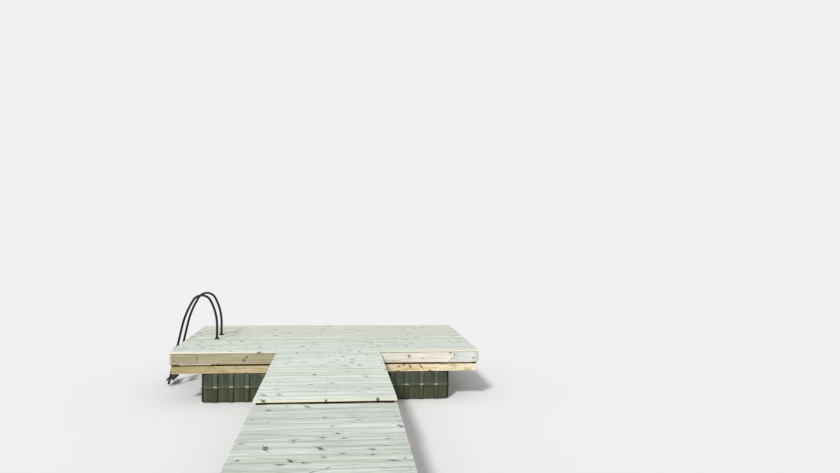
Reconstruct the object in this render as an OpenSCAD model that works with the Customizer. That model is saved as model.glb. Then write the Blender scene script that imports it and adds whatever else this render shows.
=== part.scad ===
// T-shaped wooden jetty: a boarded platform on four hollow floats, reached by a
// boarded walkway of three bays on low timber trestles, with a bathing ladder.
// Millimetres. X runs along the platform's front edge, +Y points away from the
// shore, +Z is up. The origin is under the middle of the whole jetty, at the
// level of the floats' undersides.

/* [Platform] */
// Length of the platform's deck boards, side to side
platform_w = 4200; // [3600:100:5000]
// Deck boards across the platform's depth
platform_boards = 16; // [12:1:20]
// Joists under the platform's deck
joist_count = 8; // [6:1:10]
// Height of the edge boards
fascia_h = 145; // [120:5:165]
// Thickness of the edge boards
fascia_t = 28; // [20:1:35]
// Length of the short board at each end of the front and back edges
fascia_end_len = 332; // [200:2:600]
// Open joint between edge boards that meet end to end
fascia_joint = 2; // [1:0.5:5]

/* [Deck boards] */
// Width of a deck board
board_w = 145; // [95:5:170]
// Thickness of a deck board
board_t = 28; // [22:1:40]
// Gap between deck boards
board_gap = 3; // [2:1:8]

/* [Frame timber] */
// Thickness of joists, stringers and noggings
joist_t = 48; // [38:1:60]
// Height of joists and stringers
joist_h = 172; // [148:1:220]
// Height of the noggings
nogging_h = 123; // [98:1:140]
// Side of the square bearers, caps and posts
beam_s = 98; // [85:1:110]
// How far the bearers stop short of the platform's sides
bearer_end_in = 25; // [5:5:100]

/* [Floats] */
// Length of a float, side to side
float_w = 1000; // [900:10:1100]
// Depth of a float, front to back
float_d = 800; // [600:10:900]
// Height of a float
float_h = 400; // [300:10:500]
// How far the floats sit in from the platform's sides
float_end_in = 410; // [200:10:450]
// How far the floats sit in from the platform's front and back edges
float_in = 10; // [5:1:60]
// How far a bearer sits in from the edge of the float under it
bearer_in = 5; // [2:1:60]
// Radius of the float's upright corners
float_corner_r = 70; // [40:5:120]
// Width of the flat face of the float's upright ribs
rib_face_w = 50; // [36:1:80]
// How much wider a rib gets on each side at the wall
rib_flare = 8; // [3:1:15]
// How far the ribs stand out of the float's walls
rib_out = 16; // [8:1:24]
// Distance between neighbouring ribs
rib_pitch = 208; // [180:1:220]
// Chamfer round the float's top and bottom
float_chamfer = 30; // [10:1:50]
// Height of the moulding seam's flange
seam_h = 14; // [8:1:24]

/* [Walkway] */
// Length of the walkway's boards
walkway_w = 1400; // [1200:10:1600]
// Deck boards in one bay
bay_boards = 17; // [14:1:20]
// Open joint between two bays, and between the walkway and the platform
bay_joint = 8; // [7:1:14]
// Slope of the two bays nearest the shore, in degrees
bay_slope = 1.2; // [0.5:0.1:2]
// Turn of the two bays nearest the shore, seen from above, in degrees
bay_turn = 0.7; // [0:0.1:1.5]
// How far the walkway's boards run past its outer stringers
board_over = 26; // [5:1:80]
// How far a bay's stringers stop short of its end boards
stringer_in = 14; // [5:1:25]
// Distance of a bay's noggings from its ends
nogging_in = 420; // [200:10:800]

/* [Trestles] */
// How far a trestle's cap and sill stop short of the walkway's sides
cap_end_in = 30; // [5:5:60]
// Distance of a post's middle from the end of the cap
post_in = 150; // [60:5:300]
// Width of the sills
sill_w = 148; // [120:1:200]
// Thickness of the sills
sill_t = 48; // [38:1:60]
// Thickness of the packing strip under the level bay
packer_t = 31; // [18:1:34]
// Depth of the level seats cut in the sloping stringers
seat_cut = 11; // [4:1:15]
// Distance of the shore trestle from the walkway's end
shore_in = 150; // [80:10:400]
// Width of a brace board
brace_w = 70; // [50:5:90]
// Thickness of a brace board
brace_t = 28; // [20:1:35]

/* [Bathing ladder] */
// Diameter of the ladder's tubes
tube_d = 34; // [28:1:40]
// Distance between the two rails, centre to centre
ladder_w = 380; // [340:5:420]
// Distance of the ladder's middle from the platform's front edge
ladder_y = 1212; // [800:1:1500]
// Distance of the rails' feet from the platform's left edge
foot_in = 435; // [400:5:480]
// Straight length at the foot of a rail
foot_len = 150; // [100:5:250]
// Radius of the long bend above the foot
rise_r = 830; // [700:10:900]
// Angle of the long bend above the foot
rise_angle = 28.5; // [24:0.5:32]
// Radius of the hand bend at the top
hand_r = 142; // [110:1:160]
// Angle of the hand bend at the top
hand_angle = 120.5; // [117:0.5:123]
// Radius of the long bend on the water side
fall_r = 1290; // [1100:10:1400]
// Angle of the long bend on the water side
fall_angle = 19; // [16:0.5:21]
// Height of the rails' lower ends above the floats' undersides
rail_end_z = 30; // [10:5:80]
// Diameter of a foot plate
foot_plate_d = 78; // [70:1:110]
// Thickness of a foot plate
foot_plate_t = 6; // [4:1:10]
// Diameter of the collar on a foot plate
collar_d = 44; // [42:1:56]
// Height of the collar on a foot plate
collar_h = 24; // [15:1:40]
// Treads on the ladder
tread_count = 3; // [2:1:3]
// Drop from the deck to the first tread
tread_first = 150; // [120:5:180]
// Drop from one tread to the next
tread_pitch = 230; // [200:5:235]
// Depth of a tread, front to back
tread_d = 90; // [70:1:120]
// Height of a tread
tread_h = 30; // [20:1:40]
// Wall of a tread
tread_wall = 4; // [3:0.5:6]
// Drop from the deck to the middle of a wall bracket
bracket_drop = 95; // [80:1:110]
// Height of a wall bracket's plate
bracket_h = 100; // [60:1:110]
// Width of a wall bracket's plate
bracket_w = 55; // [45:1:80]
// Thickness of a wall bracket's plate
bracket_t = 6; // [4:1:10]
// Diameter of a wall bracket's strut
strut_d = 20; // [14:1:26]

/* [Hidden] */
$fn = 48;

DECK_GREY = [0.72, 0.74, 0.70];
EDGE_PINK = [0.82, 0.76, 0.68];
BEARER_YELLOW = [0.76, 0.68, 0.50];
FRAME_BROWN = [0.52, 0.46, 0.36];
FLOAT_GREEN = [0.22, 0.25, 0.20];
LADDER_TEAL = [0.09, 0.16, 0.17];

// Levels, from the floats' undersides up
bearer_z = float_h;
joist_z = bearer_z + beam_s;
deck_z = joist_z + joist_h + board_t;
bay_h = board_t + joist_h;

// Boards and lengths
board_pitch = board_w + board_gap;
platform_d = platform_boards * board_pitch - board_gap;
bay_len = bay_boards * board_pitch - board_gap;
bay_pitch = bay_len + bay_joint;
slope_len = 2 * bay_len + bay_joint;
turn_joint = bay_joint + walkway_w / 2 * sin(bay_turn);
slope_y = -bay_joint - bay_len - turn_joint;
walkway_run = slope_len * cos(bay_slope) * cos(bay_turn) + walkway_w / 2 * sin(bay_turn) - slope_y;

// Ladder rail: straights are [0, length] and bends are [radius, angle], from the foot up and over
rail_chain = [[0, foot_len], [rise_r, rise_angle], [hand_r, hand_angle], [fall_r, fall_angle]];
rail_foot_z = deck_z + foot_plate_t + collar_h;
tube_step = 0.2;
tube_overlap = 2;
half_turn = 180;

// Where a rail is after its first n stretches: [x, z, angle from straight up]
function rail_at(n) = n == 0 ? [0, 0, 0] : rail_step(rail_at(n - 1), rail_chain[n - 1]);
function rail_step(at, stretch) = stretch[0] == 0
    ? [at[0] - stretch[1] * sin(at[2]), at[1] + stretch[1] * cos(at[2]), at[2]]
    : [at[0] + stretch[0] * (cos(at[2] + stretch[1]) - cos(at[2])),
        at[1] + stretch[0] * (sin(at[2] + stretch[1]) - sin(at[2])),
        at[2] + stretch[1]];

leg_top = rail_at(len(rail_chain));
leg_lean = half_turn - leg_top[2];
leg_drop = rail_foot_z + leg_top[1] - rail_end_z;
// X of the rail's lower leg at a height, from the platform's centreline
function leg_x(z) = -platform_w / 2 + foot_in + leg_top[0] - (rail_foot_z + leg_top[1] - z) * tan(leg_lean);
ladder_out = leg_x(rail_end_z) - tube_d / 2 * cos(leg_lean);

// Middle of the platform's front edge, seen from above
centre_x = -(platform_w / 2 + ladder_out) / 2;
front_y = (walkway_run - platform_d) / 2;

// Rows of bearers, from the platform's front edge
front_bearer_y = float_in + bearer_in;
front_inner_bearer_y = float_in + float_d - bearer_in - beam_s;
back_inner_bearer_y = platform_d - float_in - float_d + bearer_in;
back_bearer_y = platform_d - float_in - bearer_in - beam_s;
back_float_y = platform_d - float_in - float_d;
float_x = platform_w / 2 - float_end_in - float_w / 2;

// Joists and stringers
joist_span = platform_w - 2 * fascia_t - joist_t;
joist_pitch = joist_span / (joist_count - 1);
stringer_x = walkway_w / 2 - board_over - joist_t / 2;

// The outer trestle is square to the platform, the other two to the turned bays
cap_len = walkway_w - 2 * cap_end_in;
post_x = cap_len / 2 - post_in;
outer_cap_y = slope_y + turn_joint / 2;
outer_cap_z = joist_z - packer_t;
slope_z = outer_cap_z - seat_cut + bay_h * cos(bay_slope);
// Underside of the sloping stringers, at a distance along the slope
function under_y(along) = bay_h * sin(bay_slope) - along * cos(bay_slope);
function under_z(along) = slope_z - along * sin(bay_slope) - bay_h * cos(bay_slope);
inner_cap_y = under_y(bay_len + bay_joint / 2);
inner_cap_z = under_z(bay_len + bay_joint / 2) + seat_cut;
shore_cap_y = under_y(slope_len - shore_in);
shore_cap_z = under_z(slope_len - shore_in) + seat_cut;

// Frames of reference
module at_front() {
    translate([centre_x, front_y, 0]) children();
}

module at_far_bay() {
    at_front() translate([0, -bay_joint, deck_z]) children();
}

module at_turn() {
    at_front() translate([0, slope_y, 0]) rotate([0, 0, -bay_turn]) children();
}

module at_slope(bay) {
    at_turn() translate([0, 0, slope_z]) rotate([bay_slope, 0, 0])
        translate([0, -bay * bay_pitch, 0]) children();
}

// Platform
module platform_deck() {
    color(DECK_GREY) at_front() for (i = [0 : platform_boards - 1])
        translate([-platform_w / 2, i * board_pitch, deck_z - board_t])
            cube([platform_w, board_w, board_t]);
}

module platform_joists() {
    color(FRAME_BROWN) at_front() for (i = [0 : joist_count - 1])
        translate([-joist_span / 2 + i * joist_pitch - joist_t / 2, fascia_t, joist_z])
            cube([joist_t, platform_d - 2 * fascia_t, joist_h]);
}

module platform_noggings() {
    color(FRAME_BROWN) at_front() for (i = [0 : joist_count - 2])
        translate([-joist_span / 2 + i * joist_pitch + joist_t / 2, (platform_d - joist_t) / 2,
                deck_z - board_t - nogging_h])
            cube([joist_pitch - joist_t, joist_t, nogging_h]);
}

// Edge boards along the front or back, between the side boards: one long board and two short ones
module long_fascia() {
    whole_len = platform_w - 2 * fascia_t;
    middle_len = whole_len - 2 * (fascia_end_len + fascia_joint);
    translate([-whole_len / 2, 0, 0]) cube([fascia_end_len, fascia_t, fascia_h]);
    translate([-middle_len / 2, 0, 0]) cube([middle_len, fascia_t, fascia_h]);
    translate([whole_len / 2 - fascia_end_len, 0, 0]) cube([fascia_end_len, fascia_t, fascia_h]);
}

module front_fascia() {
    color(EDGE_PINK) at_front() translate([0, 0, deck_z - board_t - fascia_h]) long_fascia();
}

module back_fascia() {
    color(EDGE_PINK) at_front() translate([0, platform_d - fascia_t, deck_z - board_t - fascia_h])
        long_fascia();
}

module side_fascia() {
    translate([0, 0, deck_z - board_t - fascia_h]) cube([fascia_t, platform_d, fascia_h]);
}

module left_fascia() {
    color(EDGE_PINK) at_front() translate([-platform_w / 2, 0, 0]) side_fascia();
}

module right_fascia() {
    color(EDGE_PINK) at_front() translate([platform_w / 2 - fascia_t, 0, 0]) side_fascia();
}

module bearer(y) {
    bearer_len = platform_w - 2 * bearer_end_in;
    color(BEARER_YELLOW) at_front() translate([-bearer_len / 2, y, bearer_z])
        cube([bearer_len, beam_s, beam_s]);
}

module front_bearer() {
    bearer(front_bearer_y);
}

module front_inner_bearer() {
    bearer(front_inner_bearer_y);
}

module back_inner_bearer() {
    bearer(back_inner_bearer_y);
}

module back_bearer() {
    bearer(back_bearer_y);
}

// Floats: ribbed walls, chamfered top and bottom, and a flange at the moulding seam
module float_wall_plan() {
    wall_w = float_w - 2 * rib_out;
    wall_d = float_d - 2 * rib_out;
    long_ribs = floor((wall_w - 2 * float_corner_r) / rib_pitch);
    short_ribs = floor((wall_d - 2 * float_corner_r) / rib_pitch);
    square([wall_w, wall_d - 2 * float_corner_r], center = true);
    square([wall_w - 2 * float_corner_r, wall_d], center = true);
    for (x = [-1, 1], y = [-1, 1])
        translate([x * (wall_w / 2 - float_corner_r), y * (wall_d / 2 - float_corner_r)])
            circle(r = float_corner_r);
    for (i = [0 : long_ribs], side = [0, 1])
        mirror([0, side]) translate([(i - long_ribs / 2) * rib_pitch, wall_d / 2]) rib_plan();
    for (i = [0 : short_ribs], side = [0, 1])
        mirror([side, 0]) translate([wall_w / 2, (i - short_ribs / 2) * rib_pitch]) rotate(-90) rib_plan();
}

// A rib stands out of the wall towards +Y, with its root inside the wall
module rib_plan() {
    foot = rib_face_w / 2 + rib_flare;
    polygon([[-foot, -rib_out], [foot, -rib_out], [foot, 0], [rib_face_w / 2, rib_out],
        [-rib_face_w / 2, rib_out], [-foot, 0]]);
}

module chamfered_side(w) {
    polygon([[-w / 2 + float_chamfer, 0], [w / 2 - float_chamfer, 0], [w / 2, float_chamfer],
        [w / 2, float_h - float_chamfer], [w / 2 - float_chamfer, float_h],
        [-w / 2 + float_chamfer, float_h], [-w / 2, float_h - float_chamfer], [-w / 2, float_chamfer]]);
}

module float_tank() {
    intersection() {
        linear_extrude(float_h) float_wall_plan();
        translate([0, float_d / 2, 0]) rotate([90, 0, 0]) linear_extrude(float_d) chamfered_side(float_w);
        translate([-float_w / 2, 0, 0]) rotate([90, 0, 90]) linear_extrude(float_w) chamfered_side(float_d);
    }
    translate([-float_w / 2 + float_corner_r, -float_d / 2, (float_h - seam_h) / 2])
        cube([float_w - 2 * float_corner_r, float_d, seam_h]);
    translate([-float_w / 2, -float_d / 2 + float_corner_r, (float_h - seam_h) / 2])
        cube([float_w, float_d - 2 * float_corner_r, seam_h]);
    for (x = [-1, 1], y = [-1, 1])
        translate([x * (float_w / 2 - float_corner_r), y * (float_d / 2 - float_corner_r), (float_h - seam_h) / 2])
            cylinder(r = float_corner_r, h = seam_h);
}

module placed_float(side, y) {
    color(FLOAT_GREEN) at_front() translate([side * float_x, y + float_d / 2, 0]) float_tank();
}

module front_left_float() {
    placed_float(-1, float_in);
}

module front_right_float() {
    placed_float(1, float_in);
}

module back_left_float() {
    placed_float(-1, back_float_y);
}

module back_right_float() {
    placed_float(1, back_float_y);
}

// Walkway: each bay hangs below its own top edge and runs towards -Y
module walkway_ledger() {
    ledger_len = 2 * stringer_x + joist_t;
    color(BEARER_YELLOW) at_front() translate([-ledger_len / 2, front_bearer_y - beam_s, bearer_z])
        cube([ledger_len, beam_s, beam_s]);
}

module bay_deck() {
    color(DECK_GREY) for (i = [1 : bay_boards])
        translate([-walkway_w / 2, -i * board_pitch + board_gap, -board_t])
            cube([walkway_w, board_w, board_t]);
}

module bay_stringers() {
    for (x = [-stringer_x, 0, stringer_x])
        translate([x - joist_t / 2, -bay_len + stringer_in, -bay_h])
            cube([joist_t, bay_len - 2 * stringer_in, joist_h]);
}

module bay_noggings() {
    color(FRAME_BROWN) for (side = [-1, 1], y = [-nogging_in, -bay_len + nogging_in])
        translate([side * stringer_x / 2 - (stringer_x - joist_t) / 2, y - joist_t / 2, -board_t - nogging_h])
            cube([stringer_x - joist_t, joist_t, nogging_h]);
}

// Level seat over a trestle's cap, cut out of the sloping stringers
module seat(cap_y, cap_z) {
    translate([-walkway_w / 2, cap_y - beam_s / 2 - seat_cut, cap_z - beam_s])
        cube([walkway_w, beam_s + 2 * seat_cut, beam_s]);
}

module far_bay_deck() {
    at_far_bay() bay_deck();
}

module far_bay_stringers() {
    color(FRAME_BROWN) at_far_bay() bay_stringers();
}

module far_bay_noggings() {
    at_far_bay() bay_noggings();
}

module middle_bay_deck() {
    at_slope(0) bay_deck();
}

module middle_bay_stringers() {
    color(FRAME_BROWN) difference() {
        at_slope(0) bay_stringers();
        at_front() seat(outer_cap_y, outer_cap_z);
        at_turn() seat(inner_cap_y, inner_cap_z);
    }
}

module middle_bay_noggings() {
    at_slope(0) bay_noggings();
}

module shore_bay_deck() {
    at_slope(1) bay_deck();
}

module shore_bay_stringers() {
    color(FRAME_BROWN) difference() {
        at_slope(1) bay_stringers();
        at_turn() seat(inner_cap_y, inner_cap_z);
        at_turn() seat(shore_cap_y, shore_cap_z);
    }
}

module shore_bay_noggings() {
    at_slope(1) bay_noggings();
}

// Strip on the outer trestle's cap that lifts the level bay
module packing_strip() {
    strip_w = (beam_s - turn_joint) / 2;
    color(FRAME_BROWN) at_front()
        translate([-cap_len / 2, outer_cap_y + beam_s / 2 - strip_w, outer_cap_z])
            cube([cap_len, strip_w, packer_t]);
}

// Trestles
module cap(cap_y, cap_z) {
    color(BEARER_YELLOW) translate([-cap_len / 2, cap_y - beam_s / 2, cap_z - beam_s])
        cube([cap_len, beam_s, beam_s]);
}

module posts(cap_y, cap_z) {
    color(FRAME_BROWN) for (x = [-post_x, post_x])
        translate([x - beam_s / 2, cap_y - beam_s / 2, sill_t])
            cube([beam_s, beam_s, cap_z - beam_s - sill_t]);
}

module sill(cap_y) {
    color(FRAME_BROWN) translate([-cap_len / 2, cap_y - sill_w / 2, 0])
        cube([cap_len, sill_w, sill_t]);
}

module brace(cap_y, cap_z) {
    post_h = cap_z - beam_s - sill_t;
    rise = post_h - 2 * brace_w;
    lean = atan(rise / (2 * post_x));
    color(FRAME_BROWN)
        translate([0, cap_y - (beam_s + brace_t) / 2, sill_t + post_h / 2]) rotate([0, -lean, 0])
            cube([2 * post_x / cos(lean), brace_t, brace_w], center = true);
}

module outer_trestle_cap() {
    at_front() cap(outer_cap_y, outer_cap_z);
}

module outer_trestle_posts() {
    at_front() posts(outer_cap_y, outer_cap_z);
}

module outer_trestle_sill() {
    at_front() sill(outer_cap_y);
}

module outer_trestle_brace() {
    at_front() brace(outer_cap_y, outer_cap_z);
}

module inner_trestle_cap() {
    at_turn() cap(inner_cap_y, inner_cap_z);
}

module inner_trestle_posts() {
    at_turn() posts(inner_cap_y, inner_cap_z);
}

module inner_trestle_sill() {
    at_turn() sill(inner_cap_y);
}

module inner_trestle_brace() {
    at_turn() brace(inner_cap_y, inner_cap_z);
}

module shore_trestle_cap() {
    at_turn() cap(shore_cap_y, shore_cap_z);
}

module shore_trestle_posts() {
    at_turn() posts(shore_cap_y, shore_cap_z);
}

module shore_trestle_sill() {
    at_turn() sill(shore_cap_y);
}

// Bathing ladder: two bent tubes that stand on the deck, go over and down beside the left edge.
// Every second stretch is a hair thinner and reaches into its neighbours, so that they join cleanly.
module rail_stretch(at, stretch, d, reach) {
    if (stretch[0] == 0)
        translate([at[0], 0, at[1]]) rotate([0, -at[2], 0])
            translate([0, 0, -reach]) cylinder(d = d, h = stretch[1] + 2 * reach);
    else
        let (reach_angle = reach / stretch[0] * half_turn / PI)
            translate([at[0] - stretch[0] * cos(at[2]), 0, at[1] - stretch[0] * sin(at[2])])
                rotate([90, 0, 0]) rotate([0, 0, at[2] - reach_angle])
                    rotate_extrude(angle = stretch[1] + 2 * reach_angle)
                        translate([stretch[0], 0]) circle(d = d);
}

module rail(side) {
    stretches = concat(rail_chain, [[0, leg_drop / cos(leg_lean)]]);
    at_front() translate([-platform_w / 2 + foot_in, ladder_y + side * ladder_w / 2, rail_foot_z])
        for (n = [0 : len(stretches) - 1])
            rail_stretch(rail_at(n), stretches[n], tube_d - n % 2 * tube_step, n % 2 * tube_overlap);
}

module ladder_front_rail() {
    color(LADDER_TEAL) rail(-1);
}

module ladder_back_rail() {
    color(LADDER_TEAL) rail(1);
}

// A tread is a folded channel with its ends shaped round the rails
module tread_profile() {
    difference() {
        square([tread_d, tread_h], center = true);
        translate([0, -tread_wall]) square([tread_d - 2 * tread_wall, tread_h], center = true);
    }
}

module ladder_treads() {
    color(LADDER_TEAL) difference() {
        at_front() for (i = [0 : tread_count - 1])
            let (z = deck_z - tread_first - i * tread_pitch)
                translate([leg_x(z), ladder_y + ladder_w / 2, z]) rotate([90, 0, 0])
                    linear_extrude(ladder_w) tread_profile();
        rail(-1);
        rail(1);
    }
}

module ladder_foot_plates() {
    color(LADDER_TEAL) at_front() for (side = [-1, 1])
        translate([-platform_w / 2 + foot_in, ladder_y + side * ladder_w / 2, deck_z]) {
            cylinder(d = foot_plate_d, h = foot_plate_t);
            cylinder(d = collar_d, h = foot_plate_t + collar_h);
        }
}

module ladder_brackets() {
    z = deck_z - bracket_drop;
    reach = -platform_w / 2 - leg_x(z);
    color(LADDER_TEAL) difference() {
        at_front() for (side = [-1, 1])
            translate([-platform_w / 2, ladder_y + side * ladder_w / 2, z]) {
                translate([-bracket_t, -bracket_w / 2, -bracket_h / 2]) cube([bracket_t, bracket_w, bracket_h]);
                translate([-reach, 0, 0]) rotate([0, 90, 0]) cylinder(d = strut_d, h = reach);
            }
        rail(-1);
        rail(1);
    }
}

platform_deck();
platform_joists();
platform_noggings();
front_fascia();
back_fascia();
left_fascia();
right_fascia();
front_bearer();
front_inner_bearer();
back_inner_bearer();
back_bearer();
front_left_float();
front_right_float();
back_left_float();
back_right_float();
walkway_ledger();
far_bay_deck();
far_bay_stringers();
far_bay_noggings();
middle_bay_deck();
middle_bay_stringers();
middle_bay_noggings();
shore_bay_deck();
shore_bay_stringers();
shore_bay_noggings();
packing_strip();
outer_trestle_cap();
outer_trestle_posts();
outer_trestle_sill();
outer_trestle_brace();
inner_trestle_cap();
inner_trestle_posts();
inner_trestle_sill();
inner_trestle_brace();
shore_trestle_cap();
shore_trestle_posts();
shore_trestle_sill();
ladder_front_rail();
ladder_back_rail();
ladder_treads();
ladder_foot_plates();
ladder_brackets();
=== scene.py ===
import math
import random

import bmesh
import bpy
from mathutils import Matrix, Vector


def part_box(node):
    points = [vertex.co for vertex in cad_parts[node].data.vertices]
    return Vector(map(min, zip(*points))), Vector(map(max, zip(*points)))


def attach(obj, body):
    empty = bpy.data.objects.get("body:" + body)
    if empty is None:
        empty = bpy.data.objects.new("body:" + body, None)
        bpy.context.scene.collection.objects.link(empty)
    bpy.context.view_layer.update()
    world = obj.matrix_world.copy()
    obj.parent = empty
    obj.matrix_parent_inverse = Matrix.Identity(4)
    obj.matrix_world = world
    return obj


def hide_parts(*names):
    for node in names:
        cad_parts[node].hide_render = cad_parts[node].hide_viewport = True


# Looks of the wooden jetty, in metres. Every board and timber takes its size and place from its CAD
# solid, and gets worn edges, grain, nails and bolts here. The floats and the ladder's tubes are built
# again with softer forms, inside their CAD boxes.

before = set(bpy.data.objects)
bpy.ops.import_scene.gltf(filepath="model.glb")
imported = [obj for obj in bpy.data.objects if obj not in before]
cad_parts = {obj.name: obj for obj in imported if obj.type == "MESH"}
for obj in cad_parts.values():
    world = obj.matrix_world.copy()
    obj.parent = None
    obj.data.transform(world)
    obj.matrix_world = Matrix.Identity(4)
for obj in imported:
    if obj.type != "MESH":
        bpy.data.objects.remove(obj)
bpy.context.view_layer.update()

# Camera. Its place is measured from the middle of the platform's front edge at deck level, and its
# turn from straight ahead.
PHOTO_W = 840
FOCAL_PX = 636.4
SENSOR = 36.0
CAMERA_FROM_EDGE = Vector((0.064, -8.794, 1.646))
CAMERA_YAW = math.radians(-7.586)
CAMERA_PITCH = math.radians(-0.396)
CAMERA_ROLL = math.radians(0.945)
CAMERA_REACH = 500

# Light
SUN_STRENGTH = 2.3
SUN_SOFTNESS = math.radians(8)
SUN_HEIGHT = math.radians(40)
SUN_TURN = math.radians(-28)
SKY_STRENGTH = 0.55
BACKDROP_STRENGTH = 0.875
FLOOR_SIZE = 120.0
FLOOR_COLOUR = (0.86, 0.86, 0.86, 1)

# Boards. Wander, wear and cup are the most that a board has.
BOARD_EDGE = 0.003
BOARD_WANDER = 0.0008
BOARD_WEAR = 0.0012
BOARD_CUP = 0.0012
BOARD_AGE = (-0.16, 0.1)
# How far in from a board's sides its worn edges and painted shadow reach
WEAR_AND_SHADOW_BAND = 0.009
FACE_POINTS = 9
END_SLACK = 0.003
END_EASE = 0.0012
END_REACH = 0.1
STATION = 0.35

# Timbers. WELD is how near to each other two points of a CAD mesh are one.
WELD = 0.00005
BEVEL = 0.0025
SHARP = math.radians(30)
TIMBER_AGE = (-0.3, 0.1)

# The curved split between the front edge's long board and its right end piece: points as (depth below
# the deck, distance to the right of the platform's middle), the gap's width, and the length of the end
# piece's CAD solid.
SPLIT = ((0.028, 1.722), (0.074, 1.759), (0.173, 1.676))
SPLIT_W = 0.007
END_PIECE = 0.332

# Knots: their radius by the pitch of the pattern's cells, the radius that stands for no knot, the range
# that they are turned in, how far they are drawn out, the shape of their tails, how far the grain parts
# round them, and their rings
KNOT_RADIUS = (0.045, 0.105)
NO_KNOT = 0.0001
KNOT_TURN = 2.2
KNOT_DRAWN = 1.9
KNOT_TAIL = (0.26, 1.2, 0.0)
KNOT_PARTING = 0.8
KNOT_RINGS = 16.0

# How deep a knot that the photo shows reaches into the wood
SPOT_DEPTH = 0.03

# Grain: how far boards lie apart in it, and how fine each pattern is along, across and through a board
GRAIN_SHIFT = 40.0
BANDS = (0.7, 20.0, 20.0)
STREAKS = (1.8, 85.0, 85.0)
FIBRES = (5.0, 320.0, 320.0)
CHECKS = (1.6, 300.0, 40.0)
SPLITS = (0.35, 90.0, 12.0)
CLOUDS = (1.3, 5.0, 5.0)
BLEACHING = (17.0, 9.0, 9.0)
STAINS = (7.0, 22.0, 22.0)
WOBBLE = (36.0, 60.0, 60.0)
RING_STRETCH = (0.16, 1.0, 1.0)
RING_SCALE = 24.0
END_RING_SCALE = 48.0
WOOD_RELIEF = 0.0012
END_RELIEF = 0.0008

# Floats
WATERLINE = 0.208
RIB_FACE = 0.050
RIB_FLARE = 0.008
RIB_OUT = 0.016
RIB_PITCH = 0.208
# Width of the painted shade in the crease beside each rib
CREASE_SHADE_W = 0.014
FLOAT_CORNER = 0.070
FLOAT_ROUND = 0.030
FLOAT_DRAFT = 0.003
FLOAT_BULGE = 0.003
SEAM_H = 0.014
SEAM_FILLET = 0.003
SEAM_EDGE = 0.85
CORNER_STEPS = 7
ROUND_STEPS = 5

# Ladder. The rail's stretches are (radius, turn in degrees), or (0, length) where it is straight, from
# its foot. Its lower end's rise above its lowest point, and its narrow end, are shares of its radius.
TUBE_R = 0.0169
RAIL_STRETCHES = ((0, 0.150), (0.830, 28.5), (0.142, 120.5), (1.290, 19))
RAIL_STEP = math.radians(3)
RAIL_END_RISE = 0.3
RAIL_END_EASE = 0.003
RAIL_END_SHARE = 0.92
TUBE_SIDES = 24
PLATE_R = 0.039
PLATE_T = 0.006
PLATE_EASE = 0.001
PLATE_ROUND = 0.0015
PLATE_SIDES = 40
PLATE_BOLTS = 4
COLLAR_R = 0.022
COLLAR_H = 0.030
COLLAR_EASE = 0.002
COLLAR_GAP = 0.001
BEAD = 0.006
STEEL_BEVEL = 0.001

# Nails and bolts
NAIL_D = 0.008
NAIL_PROUD = 0.0006
NAIL_SUNK = 0.0011
NAIL_TILT = 0.06
NAIL_SIDES = 8
NAIL_IN = 0.028
NAIL_WANDER = 0.005
NAIL_APART = 0.1
BOLT_R = 0.0065
BOLT_H = 0.006
BOLT_CROWN = 0.001
BOLT_SIDES = 6
WASHER_R = 0.011
WASHER_T = 0.0015
WASHER_SUNK = 0.001
WASHER_CROWN = 0.0005
WASHER_SIDES = 20
BOLT_IN = 0.045
BRACKET_W = 0.055
BRACKET_BOLT = 0.032

# Where each kind's random numbers start
DECK_SEED = 11
EDGE_SEED = 31
BEARER_SEED = 51
FRAME_SEED = 71
FLOAT_SEED = 91

# Places of the end grain and the metal in a piece's list of materials
ENDS = 1
METAL = 2

UP = Vector((0, 0, 1))
LEFT = Vector((-1, 0, 0))
RIGHT = Vector((1, 0, 0))
FORWARD = Vector((0, -1, 0))
BACK = Vector((0, 1, 0))


# Shading
def srgb(red, green, blue):
    """A colour given from 0 to 255, as Blender wants it."""
    def linear(value):
        value /= 255
        return value / 12.92 if value <= 0.04045 else ((value + 0.055) / 1.055) ** 2.4
    return (linear(red), linear(green), linear(blue), 1.0)


def shaded(colour, share):
    """A colour made darker or lighter."""
    return tuple(part * share for part in colour[:3]) + (1.0,)


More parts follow.
